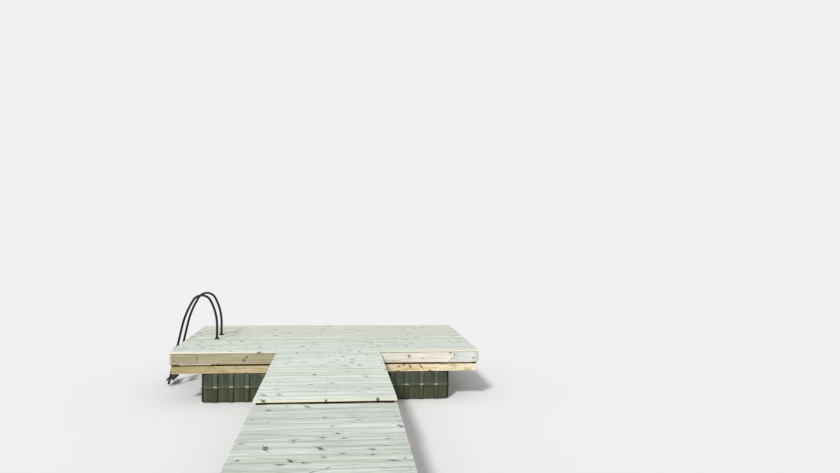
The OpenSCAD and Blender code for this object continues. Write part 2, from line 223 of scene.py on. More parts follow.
class Shader:
    """A material's nodes, built one call at a time."""

    def __init__(self, name):
        self.material = bpy.data.materials.new(name)
        self.material.use_nodes = True
        self.tree = self.material.node_tree
        self.surface = self.tree.nodes["Principled BSDF"]

    def add(self, kind, inputs=None, **settings):
        node = self.tree.nodes.new("ShaderNode" + kind)
        for key, value in settings.items():
            setattr(node, key, value)
        for key, value in (inputs or {}).items():
            self.put(node.inputs[key], value)
        return node

    def put(self, socket, value):
        if isinstance(value, bpy.types.NodeSocket):
            self.tree.links.new(value, socket)
        else:
            socket.default_value = value

    def value(self, name):
        return self.add("Attribute", attribute_name=name).outputs["Fac"]

    def vector(self, name):
        return self.add("Attribute", attribute_name=name).outputs["Vector"]

    def place(self):
        return self.add("TexCoord").outputs["Object"]

    def part(self, vector, axis):
        return self.add("SeparateXYZ", {0: vector}).outputs[axis]

    def calc(self, operation, *values):
        return self.add("Math", dict(enumerate(values)), operation=operation).outputs[0]

    def product(self, first, *others):
        for other in others:
            first = self.calc("MULTIPLY", first, other)
        return first

    def total(self, first, *others):
        for other in others:
            first = self.calc("ADD", first, other)
        return first

    def between(self, value, low, high, start=0.0, end=1.0):
        """value's way from low to high, as a smooth step from start to end."""
        inputs = {"Value": value, "From Min": low, "From Max": high, "To Min": start, "To Max": end}
        return self.add("MapRange", inputs, interpolation_type="SMOOTHSTEP").outputs["Result"]

    def vectors(self, operation, *values):
        return self.add("VectorMath", dict(enumerate(values)), operation=operation).outputs["Vector"]

    def scaled(self, vector, scale):
        return self.vectors("MULTIPLY", vector, scale)

    def length(self, vector):
        return self.add("VectorMath", {0: vector}, operation="LENGTH").outputs["Value"]

    def noise(self, vector, scale, detail=4.0, roughness=0.55):
        inputs = {"Vector": self.scaled(vector, scale), "Scale": 1.0, "Detail": detail,
                  "Roughness": roughness}
        return self.add("TexNoise", inputs).outputs["Fac"]

    def rings(self, vector, scale, **inputs):
        """Growth rings round the X axis. An input's name may have _ for a space."""
        inputs = {key.replace("_", " "): value for key, value in inputs.items()}
        node = self.add("TexWave", {"Vector": vector, "Scale": scale, **inputs}, wave_type="RINGS",
                        rings_direction="X")
        return node.outputs["Fac"]

    def mix(self, factor, a, b, blend="MIX"):
        node = self.add("Mix", data_type="RGBA", blend_type=blend)
        self.put(node.inputs[0], factor)
        self.put(node.inputs[6], a)
        self.put(node.inputs[7], b)
        return node.outputs[2]

    def times(self, colour, shade):
        grey = self.add("CombineColor", {0: shade, 1: shade, 2: shade}).outputs[0]
        return self.mix(1.0, colour, grey, "MULTIPLY")

    def bump(self, height, distance, strength=1.0):
        inputs = {"Height": height, "Distance": distance, "Strength": strength}
        return self.add("Bump", inputs).outputs["Normal"]

    def finish(self, colour, roughness, normal=None, **sockets):
        self.put(self.surface.inputs["Base Color"], colour)
        self.put(self.surface.inputs["Roughness"], roughness)
        if normal is not None:
            self.put(self.surface.inputs["Normal"], normal)
        for key, value in sockets.items():
            self.surface.inputs[key.replace("_", " ")].default_value = value
        return self.material


# Materials
def knot_pattern(s, grain, place, share, pitch, spots):
    """Knots in a share of a plane pattern's cells, round or drawn out, and one at each spot. Returns
    the distance from the nearest knot's middle by its radius, the dark tails beside the knots, and the
    grain's place, parted round them."""
    # Cells, some with a knot, which fades out at its cell's border
    wobble = s.noise(grain, WOBBLE, 2.0, 0.4)
    around = s.total(s.part(grain, "Y"), s.part(grain, "Z"))
    plane = s.add("CombineXYZ", {0: s.part(grain, "X"), 1: around}).outputs[0]
    plane = s.scaled(plane, (1 / pitch, 1 / pitch, 0.0))
    cells = s.add("TexVoronoi", {"Vector": plane, "Scale": 1.0}, voronoi_dimensions="2D")
    border = s.add("TexVoronoi", {"Vector": plane, "Scale": 1.0}, voronoi_dimensions="2D",
                   feature="DISTANCE_TO_EDGE")
    inside = s.between(border.outputs["Distance"], 0.0, 0.07)
    offset = s.vectors("SUBTRACT", plane, cells.outputs["Position"])
    chance = s.add("SeparateColor", {0: cells.outputs["Color"]}).outputs
    knotty = s.between(chance[0], 0.98 - share, 1.0 - share)
    radius = s.product(s.between(chance[1], 0.0, 1.0, *KNOT_RADIUS), knotty,
                       s.between(wobble, 0.3, 0.7, 0.78, 1.2))
    radius = s.total(radius, NO_KNOT)

    # Each knot turned and drawn out, with its tail
    turn = s.product(s.total(chance[1], -0.5), KNOT_TURN)
    turned = s.add("VectorRotate", {"Vector": offset, "Angle": turn}, rotation_type="Z_AXIS").outputs[0]
    drawn = s.between(chance[2], 0.45, 1.0, 1.0, KNOT_DRAWN)
    squeeze = s.add("CombineXYZ", {0: s.calc("DIVIDE", 1.0, drawn), 1: drawn}).outputs[0]
    ratio = s.calc("DIVIDE", s.length(s.scaled(turned, squeeze)), radius)
    ratio = s.total(ratio, s.between(inside, 0.0, 1.0, 2.0, 0.0))
    tail = s.calc("DIVIDE", s.length(s.scaled(turned, KNOT_TAIL)), radius)
    tail = s.product(s.between(tail, 0.4, 1.3, 1.0, 0.0), inside)

    # The knots at the spots
    for middle, reach in spots:
        away = s.length(s.scaled(s.vectors("SUBTRACT", place, middle), tuple(1 / r for r in reach)))
        away = s.product(away, s.between(wobble, 0.3, 0.7, 1.3, 0.75))
        ratio = s.calc("MINIMUM", ratio, away)
        tail = s.calc("MAXIMUM", tail, s.between(away, 0.9, 2.4, 0.8, 0.0))

    # The grain, parted round the knots
    near = s.product(s.between(cells.outputs["Distance"], 0.0, 0.32, 1.0, 0.0), inside,
                     s.between(knotty, 0.0, 1.0, 0.3, 1.0))
    shift = s.product(s.part(offset, "Y"), near, -KNOT_PARTING * pitch)
    parting = s.add("CombineXYZ", {1: shift, 2: shift}).outputs[0]
    return ratio, tail, s.vectors("ADD", grain, parting)


def wood(name, pale, mid, dark, knot, kept_yellow_and_shade, arris, knot_share=0.42, knot_pitch=0.2, spots=(),
         stains=0.0, wet=False):
    """Weathered sawn wood. "grain" holds a point's place in its own board: along, across and through,
    shifted by board. "tone" differs from board to board, "edge" is 1 on a worn arris and -1 on one
    with a painted shadow, and "age" runs from -1, where the wood has kept its yellow, to 1, where it has
    bleached. On the front edge and front bearer that yellow is also painted shade, and on the platform's
    deck it is a painted reflection."""
    s = Shader(name)
    grain, place = s.vector("grain"), s.place()
    age, edge = s.value("age"), s.value("edge")
    ratio, tail, flow = knot_pattern(s, grain, place, knot_share, knot_pitch, spots)

    # Broad bands, streaks, raised fibres, growth rings, short open checks and a few longer splits
    bands = s.noise(flow, BANDS, 3.0)
    streaks = s.noise(flow, STREAKS, 5.0, 0.65)
    fibres = s.noise(flow, FIBRES, 3.0)
    rings = s.rings(s.scaled(flow, RING_STRETCH), RING_SCALE, Distortion=3.5, Detail=3.0,
                    Detail_Scale=2.2)
    checks = s.between(s.noise(flow, CHECKS, 2.0), 0.66, 0.71)
    splits = s.between(s.noise(flow, SPLITS, 2.0), 0.735, 0.75)
    gaps = s.calc("MAXIMUM", checks, splits)
    cloud = s.noise(grain, CLOUDS, 4.0, 0.6)
    colour = s.mix(s.between(bands, 0.38, 0.6), mid, pale)
    colour = s.mix(s.between(cloud, 0.4, 0.7, 0.0, 0.5), colour, mid)
    colour = s.mix(s.product(rings, 0.28), colour, dark)
    colour = s.mix(s.between(streaks, 0.34, 0.5, 0.75, 0.0), colour, dark)
    colour = s.mix(s.between(streaks, 0.54, 0.68, 0.0, 0.7), colour, pale)
    colour = s.mix(s.between(fibres, 0.5, 0.72, 0.0, 0.4), colour, dark)

    # Wood that has kept its yellow, which also carries painted shade or reflection where an age function
    # sets it, and wood that has bleached
    yellow = s.calc("MAXIMUM", s.product(age, -1.0), 0.0)
    colour = s.mix(s.product(yellow, s.between(streaks, 0.3, 0.6, 0.95, 0.7)), colour, kept_yellow_and_shade)
    patches = s.between(s.noise(grain, BLEACHING, 4.0, 0.6), 0.38, 0.62, 0.6, 1.0)
    bleached = s.product(s.calc("MAXIMUM", age, 0.0), patches)
    colour = s.mix(bleached, colour, srgb(226, 235, 232))

    # Knots: a tail, a dark knot, a paler ringed heart and a darker rim
    knot_mask = s.between(ratio, 0.75, 1.15, 1.0, 0.0)
    rim = s.product(s.between(ratio, 0.55, 0.95), knot_mask)
    heart = s.between(s.calc("SINE", s.product(ratio, KNOT_RINGS)), -1.0, 1.0)
    heart = s.product(heart, s.between(ratio, 0.2, 0.8, 0.5, 0.0))
    colour = s.mix(s.product(tail, 0.65), colour, dark)
    colour = s.mix(s.product(knot_mask, 0.8), colour, knot)
    colour = s.mix(heart, colour, shaded(dark, 0.8))
    colour = s.mix(s.product(rim, 0.7), colour, shaded(knot, 0.4))

    # Stains, open gaps, soaked wood near the water, the board's own tone, and its edges: worn arrises, and
    # arrises with a painted shadow
    if stains:
        stained = s.between(s.noise(grain, STAINS, 4.0, 0.6), 0.52, 0.62, 0.0, stains)
        colour = s.mix(stained, colour, shaded(kept_yellow_and_shade, 1.15))
    colour = s.mix(s.product(gaps, 0.6), colour, shaded(knot, 0.7))
    if wet:
        level = s.total(s.part(place, "Z"), s.product(bands, 0.06))
        soaked = s.between(level, WATERLINE, WATERLINE + 0.06, 0.75, 0.0)
        colour = s.mix(soaked, colour, srgb(62, 62, 42))
    colour = s.times(colour, s.between(s.value("tone"), 0.0, 1.0, 0.88, 1.1))
    worn = s.calc("MAXIMUM", edge, 0.0)
    # A painted shadow where edge is -1
    painted_shadow = s.calc("MAXIMUM", s.product(edge, -1.0), 0.0)
    colour = s.mix(s.product(worn, 0.6), colour, arris)
    colour = s.mix(s.product(painted_shadow, 0.8), colour, shaded(knot, 0.6))

    height = s.total(s.product(fibres, 0.4), s.product(streaks, 0.6), s.product(rings, 0.2),
                     s.product(gaps, -1.2), s.product(knot_mask, 0.3))
    return s.finish(colour, s.between(bands, 0.3, 0.7, 0.9, 0.76), s.bump(height, WOOD_RELIEF, 0.6),
                    Specular_IOR_Level=0.3)


def end_grain(name, pale, dark):
    """Sawn board end: growth rings round a heart that lies outside the board, with drying cracks."""
    s = Shader(name)
    grain = s.vector("grain")
    rings = s.rings(s.scaled(grain, (0.0, 1.0, 1.0)), END_RING_SCALE, Distortion=1.2, Detail=2.0)
    cracks = s.between(s.noise(grain, (1.0, 160.0, 18.0), 2.0), 0.6, 0.7)
    cloud = s.noise(grain, (20.0, 30.0, 30.0), 3.0)
    colour = s.mix(s.product(rings, 0.6), pale, dark)
    colour = s.mix(s.between(cloud, 0.4, 0.7, 0.0, 0.5), colour, dark)
    colour = s.mix(s.product(cracks, 0.7), colour, srgb(60, 56, 48))
    height = s.calc("SUBTRACT", s.product(rings, 0.4), cracks)
    return s.finish(colour, 0.92, s.bump(height, END_RELIEF, 0.6), Specular_IOR_Level=0.2)


def nail_metal():
    """Galvanised steel with rust."""
    s = Shader("nail_metal")
    cloud = s.noise(s.place(), (60.0, 60.0, 60.0))
    colour = s.mix(s.between(cloud, 0.35, 0.65), srgb(128, 128, 122), srgb(96, 78, 62))
    return s.finish(colour, 0.55, Metallic=0.7)


def float_plastic():
    """Dull moulded plastic: chalky above the water, a pale waterline stain at it and green slime under it.
    Here "tone" is 1 on a rib's face, made lighter there as a painted highlight, and "edge" is the
    painted shade in the crease beside it. The waterline stain is brightest on the ribs: a painted
    highlight."""
    s = Shader("float_plastic")
    place = s.place()
    rib, crease_shade = s.value("tone"), s.value("edge")
    broad = s.noise(place, (3.0, 3.0, 5.0), 4.0, 0.6)
    runs = s.noise(place, (16.0, 16.0, 1.2), 4.0, 0.6)
    fine = s.noise(place, (170.0, 170.0, 170.0), 4.0)
    level = s.total(s.part(place, "Z"), s.product(s.total(broad, -0.5), 0.03))
    colour = s.mix(s.between(runs, 0.35, 0.68), srgb(46, 54, 46), srgb(73, 81, 64))
    # Rib faces lighter: a painted highlight
    colour = s.mix(s.product(rib, 0.4), colour, srgb(96, 100, 84))
    splash = s.between(level, WATERLINE + 0.02, WATERLINE + 0.12, 0.35, 0.0)
    colour = s.mix(splash, colour, srgb(82, 86, 60))
    tufts = s.total(s.product(fine, 0.45), s.product(runs, 0.55))
    slime = s.mix(s.between(tufts, 0.36, 0.62), srgb(46, 50, 34), srgb(76, 80, 52))
    colour = s.mix(s.between(level, WATERLINE - 0.012, WATERLINE + 0.006, 1.0, 0.0), colour, slime)
    above = s.between(level, WATERLINE - 0.002, WATERLINE + 0.006)
    below = s.between(level, WATERLINE + 0.012, WATERLINE + 0.022, 1.0, 0.0)
    # A real scum line, brightened on the ribs as a painted highlight
    scum_and_highlight = s.product(above, below, s.between(rib, 0.3, 1.0, 0.15, 0.95))
    colour = s.mix(scum_and_highlight, colour, srgb(176, 178, 148))
    # Darker in the crease beside each rib: painted shade
    colour = s.times(colour, s.between(crease_shade, 0.0, 1.0, 1.0, 0.5))
    pits = s.total(s.product(fine, 0.6), s.product(broad, 0.4))
    return s.finish(colour, s.between(fine, 0.3, 0.7, 0.5, 0.7), s.bump(pits, 0.0015, 0.5),
                    Specular_IOR_Level=0.4)


def ladder_paint():
    """Gloss paint over steel tube, worn and rusty in spots, dull with slime under the water."""
    s = Shader("ladder_paint")
    place = s.place()
    broad = s.noise(place, (9.0, 9.0, 5.0), 4.0)
    fine = s.noise(place, (120.0, 120.0, 120.0), 3.0)
    colour = s.mix(s.between(broad, 0.35, 0.65), srgb(8, 22, 22), srgb(16, 34, 34))
    rust = s.between(s.total(s.product(broad, 0.6), s.product(fine, 0.4)), 0.6, 0.66)
    colour = s.mix(s.product(rust, 0.7), colour, srgb(92, 58, 38))
    wet = s.between(s.part(place, "Z"), WATERLINE - 0.03, WATERLINE + 0.03, 1.0, 0.0)
    colour = s.mix(s.product(wet, 0.7), colour, srgb(44, 50, 34))
    rough = s.total(s.between(broad, 0.3, 0.7, 0.3, 0.42), s.product(wet, 0.35))
    return s.finish(colour, rough, s.bump(fine, 0.0006, 0.4), Specular_IOR_Level=0.25)


# Solids of a CAD node
class Solid:
    """One solid of a node: its points and faces, and the middle, axes and size of the box round it.
    The axes are along the grain, across a board's face and out of that face."""

    def __init__(self, verts, edges, faces, outward):
        self.verts, self.faces = verts, faces
        longest = max(edges, key=lambda e: e.calc_length())
        along = (longest.verts[1].co - longest.verts[0].co).normalized()
        if along.dot(Vector((1, 1, 1))) < 0:
            along.negate()
        sides = [(e.verts[1].co - e.verts[0].co).normalized() for e in edges]
        normal = max((v for v in sides if abs(v.dot(along)) < 0.5), key=lambda v: abs(v.dot(outward)))
        if normal.dot(outward) < 0:
            normal = -normal
        self.axes = (along, normal.cross(along).normalized(), normal)
        spans = []
        for axis in self.axes:
            reach = [axis.dot(v.co) for v in verts]
            spans.append((min(reach), max(reach)))
        self.size = [high - low for low, high in spans]
        self.middle = sum(((low + high) / 2 * axis for axis, (low, high) in zip(self.axes, spans)),
                          Vector())


def join_flats(bm):
    """Joins a CAD mesh's triangles into flat faces."""
    bmesh.ops.remove_doubles(bm, verts=bm.verts, dist=WELD)
    bmesh.ops.dissolve_limit(bm, angle_limit=math.radians(1), verts=bm.verts, edges=bm.edges)


def cad_mesh(node):
    bm = bmesh.new()
    bm.from_mesh(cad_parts[node].data)
    join_flats(bm)
    return bm


def solids(bm, outward=UP):
    """The separate solids in a mesh, from left to right and then from front to back."""
    found, seen = [], set()
    for start in bm.verts:
        if start in seen:
            continue
        verts, queue = [], [start]
        seen.add(start)
        while queue:
            vert = queue.pop()
            verts.append(vert)
            for edge in vert.link_edges:
                other = edge.other_vert(vert)
                if other not in seen:
                    seen.add(other)
                    queue.append(other)
        edges = list(dict.fromkeys(edge for vert in verts for edge in vert.link_edges))
        faces = list(dict.fromkeys(face for vert in verts for face in vert.link_faces))
        found.append(Solid(verts, edges, faces, outward))
    return sorted(found, key=lambda s: (round(s.middle.x, 3), round(s.middle.y, 3)))


# Pieces
class Piece:
    """A mesh under construction, with the layers that the materials read."""

    def __init__(self, name, materials):
        self.name, self.materials = name, materials
        self.bm = bmesh.new()
        self.grain = self.bm.verts.layers.float_vector.new("grain")
        self.tone = self.bm.verts.layers.float.new("tone")
        self.age = self.bm.verts.layers.float.new("age")
        self.edge = self.bm.verts.layers.float.new("edge")

    def vert(self, at, grain=(0, 0, 0), tone=0.5, edge=0.0, age=0.0):
        vert = self.bm.verts.new(at)
        vert[self.grain], vert[self.tone] = Vector(grain), tone
        vert[self.edge], vert[self.age] = edge, age
        return vert

    def face(self, verts, material=0):
        face = self.bm.faces.new(verts)
        face.material_index = material

    def tube(self, rings, material=0, fold=None):
        """Joins rings of as many points each into a closed skin. The ends are flat faces, or where the
        place of a fold in the rings is given, strips of faces on either side of it."""
        for low, high in zip(rings, rings[1:]):
            for i in range(len(low)):
                j = (i + 1) % len(low)
                self.face((low[i], low[j], high[j], high[i]), material)
        for ring in (rings[0], rings[-1]):
            if fold is None:
                self.face(ring, material)
                continue
            turned = ring[fold:] + ring[:fold]
            for k in range(len(ring) // 2 - 1):
                self.face((turned[k], turned[k + 1], turned[-k - 2], turned[-k - 1]), ENDS)

    def circle(self, middle, side, other, radius, sides):
        """A ring of points round a middle, in the plane of two crossing directions."""
        turns = [math.tau * k / sides for k in range(sides)]
        return [self.vert(middle + (side * math.cos(a) + other * math.sin(a)) * radius) for a in turns]

    def turned(self, at, axis, profile, sides, material=0):
        """A lathed form: the profile is (radius, height along the axis from at)."""
        side = axis.orthogonal().normalized()
        other = axis.cross(side)
        rings = [self.circle(at + axis * height, side, other, radius, sides) for radius, height in profile]
        self.tube(rings, material)

    def done(self, slot, *nodes, smooth=None):
        """Makes the object. smooth is the angle, in degrees, up to which faces shade as one."""
        bmesh.ops.recalc_face_normals(self.bm, faces=self.bm.faces)
        for face in self.bm.faces:
            face.smooth = smooth is not None
        mesh = bpy.data.meshes.new(self.name)
        self.bm.to_mesh(mesh)
        self.bm.free()
        if smooth is not None:
            mesh.set_sharp_from_angle(angle=math.radians(smooth))
        for material in self.materials:
            mesh.materials.append(material)
        piece = bpy.data.objects.new(self.name, mesh)
        bpy.context.scene.collection.objects.link(piece)
        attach(piece, "root")
        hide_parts(*nodes)


# Boards
def wander(rng):
    """A smooth random course along a board, from 0 to 1, by metres."""
    slow, fast = rng.uniform(0.7, 1.6), rng.uniform(2.5, 4.5)
    start, offset = rng.uniform(0, math.tau), rng.uniform(0, math.tau)
    return lambda t: 0.5 + 0.33 * math.sin(slow * t + start) + 0.17 * math.sin(fast * t + offset)


def grain_shift(rng):
    """A random place in the wood's pattern, so that no two boards look alike."""
    return Vector([rng.uniform(-GRAIN_SHIFT, GRAIN_SHIFT) for _ in range(3)])


def sawn_end(rng, width):
    """The inset of a board's end by place across it, a little out of square."""
    inset, skew = rng.uniform(0.2, 1) * END_SLACK, rng.uniform(-1, 1) * END_SLACK
    return lambda u: inset + abs(skew) / 2 + skew * u / width


def board_section(width, thick, narrow_left, narrow_right, wear, cup, ease, shadow_on_right):
    """Points round a board, seen along it: (across, out, edge, share of a sawn side). The right side of an
    upright board gets a painted shadow rather than wear; on the front edge board it is the dark line under
    the deck's edge."""
    left = -width / 2 + narrow_left + ease
    right = width / 2 - narrow_right - ease
    top = thick - wear - ease
    r = BOARD_EDGE
    shadow_sign = -1 if shadow_on_right else 1
    row = [left + WEAR_AND_SHADOW_BAND + (right - left - 2 * WEAR_AND_SHADOW_BAND) * k / (FACE_POINTS - 1)
           for k in range(FACE_POINTS)]
    points = [(u, ease, 0.6, 1) for u in row]
    points += [(right, ease + r / 2, 0.2 * shadow_sign, 1), (right, top - r, 0.2 * shadow_sign, 1),
               (right - r * 0.3, top - r * 0.3, shadow_sign, 0.5), (right - r, top, 0.8 * shadow_sign, 0)]
    points += [(u, top - cup * (2 * u / width) ** 2, 0, 0) for u in reversed(row)]
    points += [(left + r, top, 0.8, 0), (left + r * 0.3, top - r * 0.3, 1, 0.5),
               (left, top - r, 0.2, 1), (left, ease + r / 2, 0.2, 1)]
    return points


def add_board(piece, solid, rng, tones, darker=0.0, age=None, start=None, end=None):
    """A sawn board in a CAD board's place: eased arrises, a cupped and worn face, wandering edges
    and ends a little out of square. start and end give an end's inset by place across the board."""
    along, across, normal = solid.axes
    length, width, thick = solid.size
    left, right, wear = wander(rng), wander(rng), wander(rng)
    cup = rng.uniform(-0.3, 1) * BOARD_CUP
    tone, own_age = rng.uniform(*tones) - darker, rng.uniform(*BOARD_AGE)
    shift = grain_shift(rng)
    start = start or sawn_end(rng, width)
    end = end or sawn_end(rng, width)
    middle = length - 2 * END_REACH
    count = math.ceil(middle / STATION)
    inner = [END_REACH + middle * i / count for i in range(count + 1)]
    places = [0, END_EASE] + inner + [length - END_EASE, length]
    rings = []
    for i, place in enumerate(places):
        ease = END_EASE if i in (0, len(places) - 1) else 0.0
        near_start = max(0.0, 1 - place / END_REACH)
        near_end = max(0.0, 1 - (length - place) / END_REACH)
        # Upright boards get a painted shadow along one arris
        section = board_section(width, thick, BOARD_WANDER * left(place), BOARD_WANDER * right(place),
                                BOARD_WEAR * (1 + wear(place)) / 2, cup, ease, abs(normal.z) < 0.5)
        ring = []
        for u, v, edge, side in section:
            t = place + start(u) * near_start - end(u) * near_end
            at = solid.middle + along * (t - length / 2) + across * u + normal * (v - thick / 2)
            aged = (age(at) if age else own_age) * (1 - side) - side
            ring.append(piece.vert(at, shift + Vector((t, u, v)), tone, edge, aged))
        rings.append(ring)
    piece.tube(rings, fold=-2)


def add_nail(piece, at, normal, rng):
    """A flat nail head, driven a little askew."""
    tilt = Vector([rng.uniform(-1, 1) for _ in range(3)]) * NAIL_TILT
    profile = ((NAIL_D / 2, -NAIL_D / 4), (NAIL_D / 2, NAIL_PROUD * 0.4), (NAIL_D * 0.4, NAIL_PROUD))
    piece.turned(at, (normal + tilt).normalized(), profile, NAIL_SIDES, METAL)


def add_bolt(piece, at, normal, material=METAL):
    """A hexagon head on its washer."""
    washer = ((WASHER_R, -WASHER_SUNK), (WASHER_R, WASHER_T), (WASHER_R * 0.9, WASHER_T + WASHER_CROWN))
    head = ((BOLT_R, WASHER_T), (BOLT_R, BOLT_H), (BOLT_R * 0.8, BOLT_H + BOLT_CROWN))
    piece.turned(at, normal, washer, WASHER_SIDES, material)
    piece.turned(at, normal, head, BOLT_SIDES, material)


def nail_boards(piece, boards, carriers, rng):
    """Two nails where each board crosses a joist or stringer under it, once where several line up."""
    for board in boards:
        along, across, normal = board.axes
        nailed = []
        for carrier in carriers:
            x = (carrier.middle - board.middle).dot(along)
            if abs(x) > board.size[0] / 2 or abs(carrier.axes[0].dot(along)) > 0.5:
                continue
            if any(abs(x - other) < NAIL_APART for other in nailed):
                continue
            nailed.append(x)
            for side in (-1, 1):
                t = x + rng.uniform(-1, 1) * NAIL_WANDER
                u = side * (board.size[1] / 2 - NAIL_IN) + rng.uniform(-1, 1) * NAIL_WANDER / 2
                top = board.size[2] / 2 - NAIL_SUNK
                add_nail(piece, board.middle + along * t + across * u + normal * top, normal, rng)


def board_row(node, materials, slot, carriers, outward=UP, tones=(0, 1), fade=0.0, age=None, ends=None,
              seed=1):
    """A node of plain boards, each built again as a worn board, with the nails that hold it. The tone
    fades from the first board to the last. ends gives the insets of some boards' ends, the boards
    counted from left to right."""
    rng = random.Random(seed)
    source, under = cad_mesh(node), cad_mesh(carriers)
    piece = Piece(node + "_boards", materials)
    boards = solids(source, outward)
    for i, board in enumerate(boards):
        start, end = (ends or {}).get(i, (None, None))
        add_board(piece, board, rng, tones, fade * i / len(boards), age, start, end)
    nail_boards(piece, boards, solids(under), rng)
    source.free()
    under.free()
    piece.done(slot, node)


def way_through(node, axis, at):
    """How far through a node's box a point is along an axis, from 0 to 1."""
    low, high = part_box(node)
    return (at[axis] - low[axis]) / (high[axis] - low[axis])


def deck_painted_reflection(at):
    """The platform's boards are yellower towards the water: a painted reflection of dark trees."""
    return -0.6 * way_through("platform_deck", 1, at)


def split_course(drop):
    """How far right of the platform's middle the front edge's curved split is, by depth below the
    deck."""
    for (high, start), (low, stop) in zip(SPLIT, SPLIT[1:]):
        if drop <= low:
            share = (drop - high) / (low - high)
            return start + (stop - start) * (3 - 2 * share) * share ** 2
    return SPLIT[-1][1]


def front_age_and_shade(at):
    """The front edge is tan on the left, partly its own colour and partly painted shade, and bleached on
    its right end piece.
    """
    low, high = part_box("front_fascia")
    deck_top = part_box("platform_deck")[1].z
    if at.x > (low.x + high.x) / 2 + split_course(deck_top - at.z):
        return 0.8
    return max(-1.0, min(0.1, 4 * way_through("front_fascia", 0, at) - 2.4))


def split_ends():
    """The insets of the front edge's long board and right end piece, its second and third, at the
    split between them."""
    low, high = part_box("front_fascia")
    middle = (low + high) / 2
    joint = high.x - middle.x - END_PIECE
    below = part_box("platform_deck")[1].z - middle.z

    def past_joint(u):
        return split_course(below - u) - joint

    return {1: (None, lambda u: SPLIT_W / 2 - past_joint(u)),
            2: (lambda u: SPLIT_W / 2 + past_joint(u), None)}


# Timbers and steel
def eased(name, node, materials, slot, bevel=BEVEL, smooth=None, age=None, seed=1, bolts=()):
    """A node with its own CAD shape and eased arrises, its grain running along each solid."""
    rng = random.Random(seed)
    piece = Piece(name, materials)
    bm = piece.bm
    bm.from_mesh(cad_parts[node].data)
    join_flats(bm)
    for face in bm.faces:
        face.material_index = 0
    for solid in solids(bm):
        shift = grain_shift(rng)
        tone, own_age = rng.random(), rng.uniform(*TIMBER_AGE)
        for vert in solid.verts:
            place = vert.co - solid.middle
            vert[piece.grain] = shift + Vector(axis.dot(place) for axis in solid.axes)
            vert[piece.tone], vert[piece.age] = tone, age(vert.co) if age else own_age
        for face in solid.faces:
            if len(materials) > ENDS and abs(face.normal.dot(solid.axes[0])) > 0.9:
                face.material_index = ENDS
    sharp = [e for e in bm.edges if e.is_manifold and e.calc_face_angle(0) > SHARP]
    bmesh.ops.bevel(bm, geom=sharp, offset=bevel, segments=2, profile=0.6, affect="EDGES",
                    clamp_overlap=True, material=-1)
    for at, normal in bolts:
        add_bolt(piece, at, normal, METAL if len(materials) > METAL else 0)
    piece.done(slot, node, smooth=smooth)


def bearer_age_and_shade(at):
    """The front bearer is browner and darker on the left, like the edge board above it: partly its own
    colour, partly painted shade.
    """
    return max(-1.0, 1.4 * way_through("front_bearer", 0, at) - 1.2)


def brace_bolts(node):
    """A bolt near each end of a trestle's brace, into the post behind it."""
    source = cad_mesh(node)
    brace = solids(source, FORWARD)[0]
    source.free()
    along, _, normal = brace.axes
    reach = along * (brace.size[0] / 2 - BOLT_IN)
    face = brace.middle + normal * brace.size[2] / 2
    return [(face - reach, normal), (face + reach, normal)]


def bracket_bolts():
    """Two bolts through each bracket's plate, above and below its strut."""
    low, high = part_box("ladder_brackets")
    middle = (low.z + high.z) / 2
    return [(Vector((high.x - PLATE_T, y, middle + rise)), LEFT)
            for y in (low.y + BRACKET_W / 2, high.y - BRACKET_W / 2)
            for rise in (-BRACKET_BOLT, BRACKET_BOLT)]


# Floats
def wall_stations(run):
    """Places along a float's wall: (place, how far a rib stands out there, strength of the painted
    shade in the crease at its foot).
    """
    count = math.floor(run / RIB_PITCH) + 1
    half = RIB_FACE / 2
    foot = half + RIB_FLARE
    flank = ((foot + CREASE_SHADE_W, 0, 0), (foot + 0.002, 0, 1), (half + RIB_FLARE * 0.5, 0.5, 0.6),
             (half + 0.001, 0.93, 0.1), (half - 0.004, 1, 0), (half * 0.4, 1, 0))
    stations = [(-run / 2, 0, 0), (run / 2, 0, 0)]
    for i in range(count):
        middle = (i - (count - 1) / 2) * RIB_PITCH
        stations += [(middle + side * off, out, crease_shade) for side in (-1, 1) for off, out, crease_shade in flank]
        if i:
            stations += [(middle - RIB_PITCH * share, 0, 0) for share in (0.4, 0.5, 0.6)]
    return sorted(stations)


def float_levels(height):
    """Heights up a float's wall: (height, how far the wall is drawn in there, share of the seam)."""
    turns = [math.pi / 2 * (1 - k / ROUND_STEPS) for k in range(ROUND_STEPS + 1)]
    low = [(FLOAT_ROUND * (1 - math.sin(a)), FLOAT_ROUND * (1 - math.cos(a)), 0) for a in turns]
    high = [(height - z, inset, 0) for z, inset, _ in low]
    middle, seam = height / 2, SEAM_H / 2
    flange = seam + SEAM_FILLET
    walls = [(middle, 0, 1)]
    for side in (-1, 1):
        walls += [(middle + side * seam, 0, SEAM_EDGE), (middle + side * flange, 0, 0)]
        walls += [(middle + side * (flange + (middle - FLOAT_ROUND - seam) * share), 0, 0)
                  for share in (0.25, 0.5, 0.75)]
    return sorted(low + walls + high)


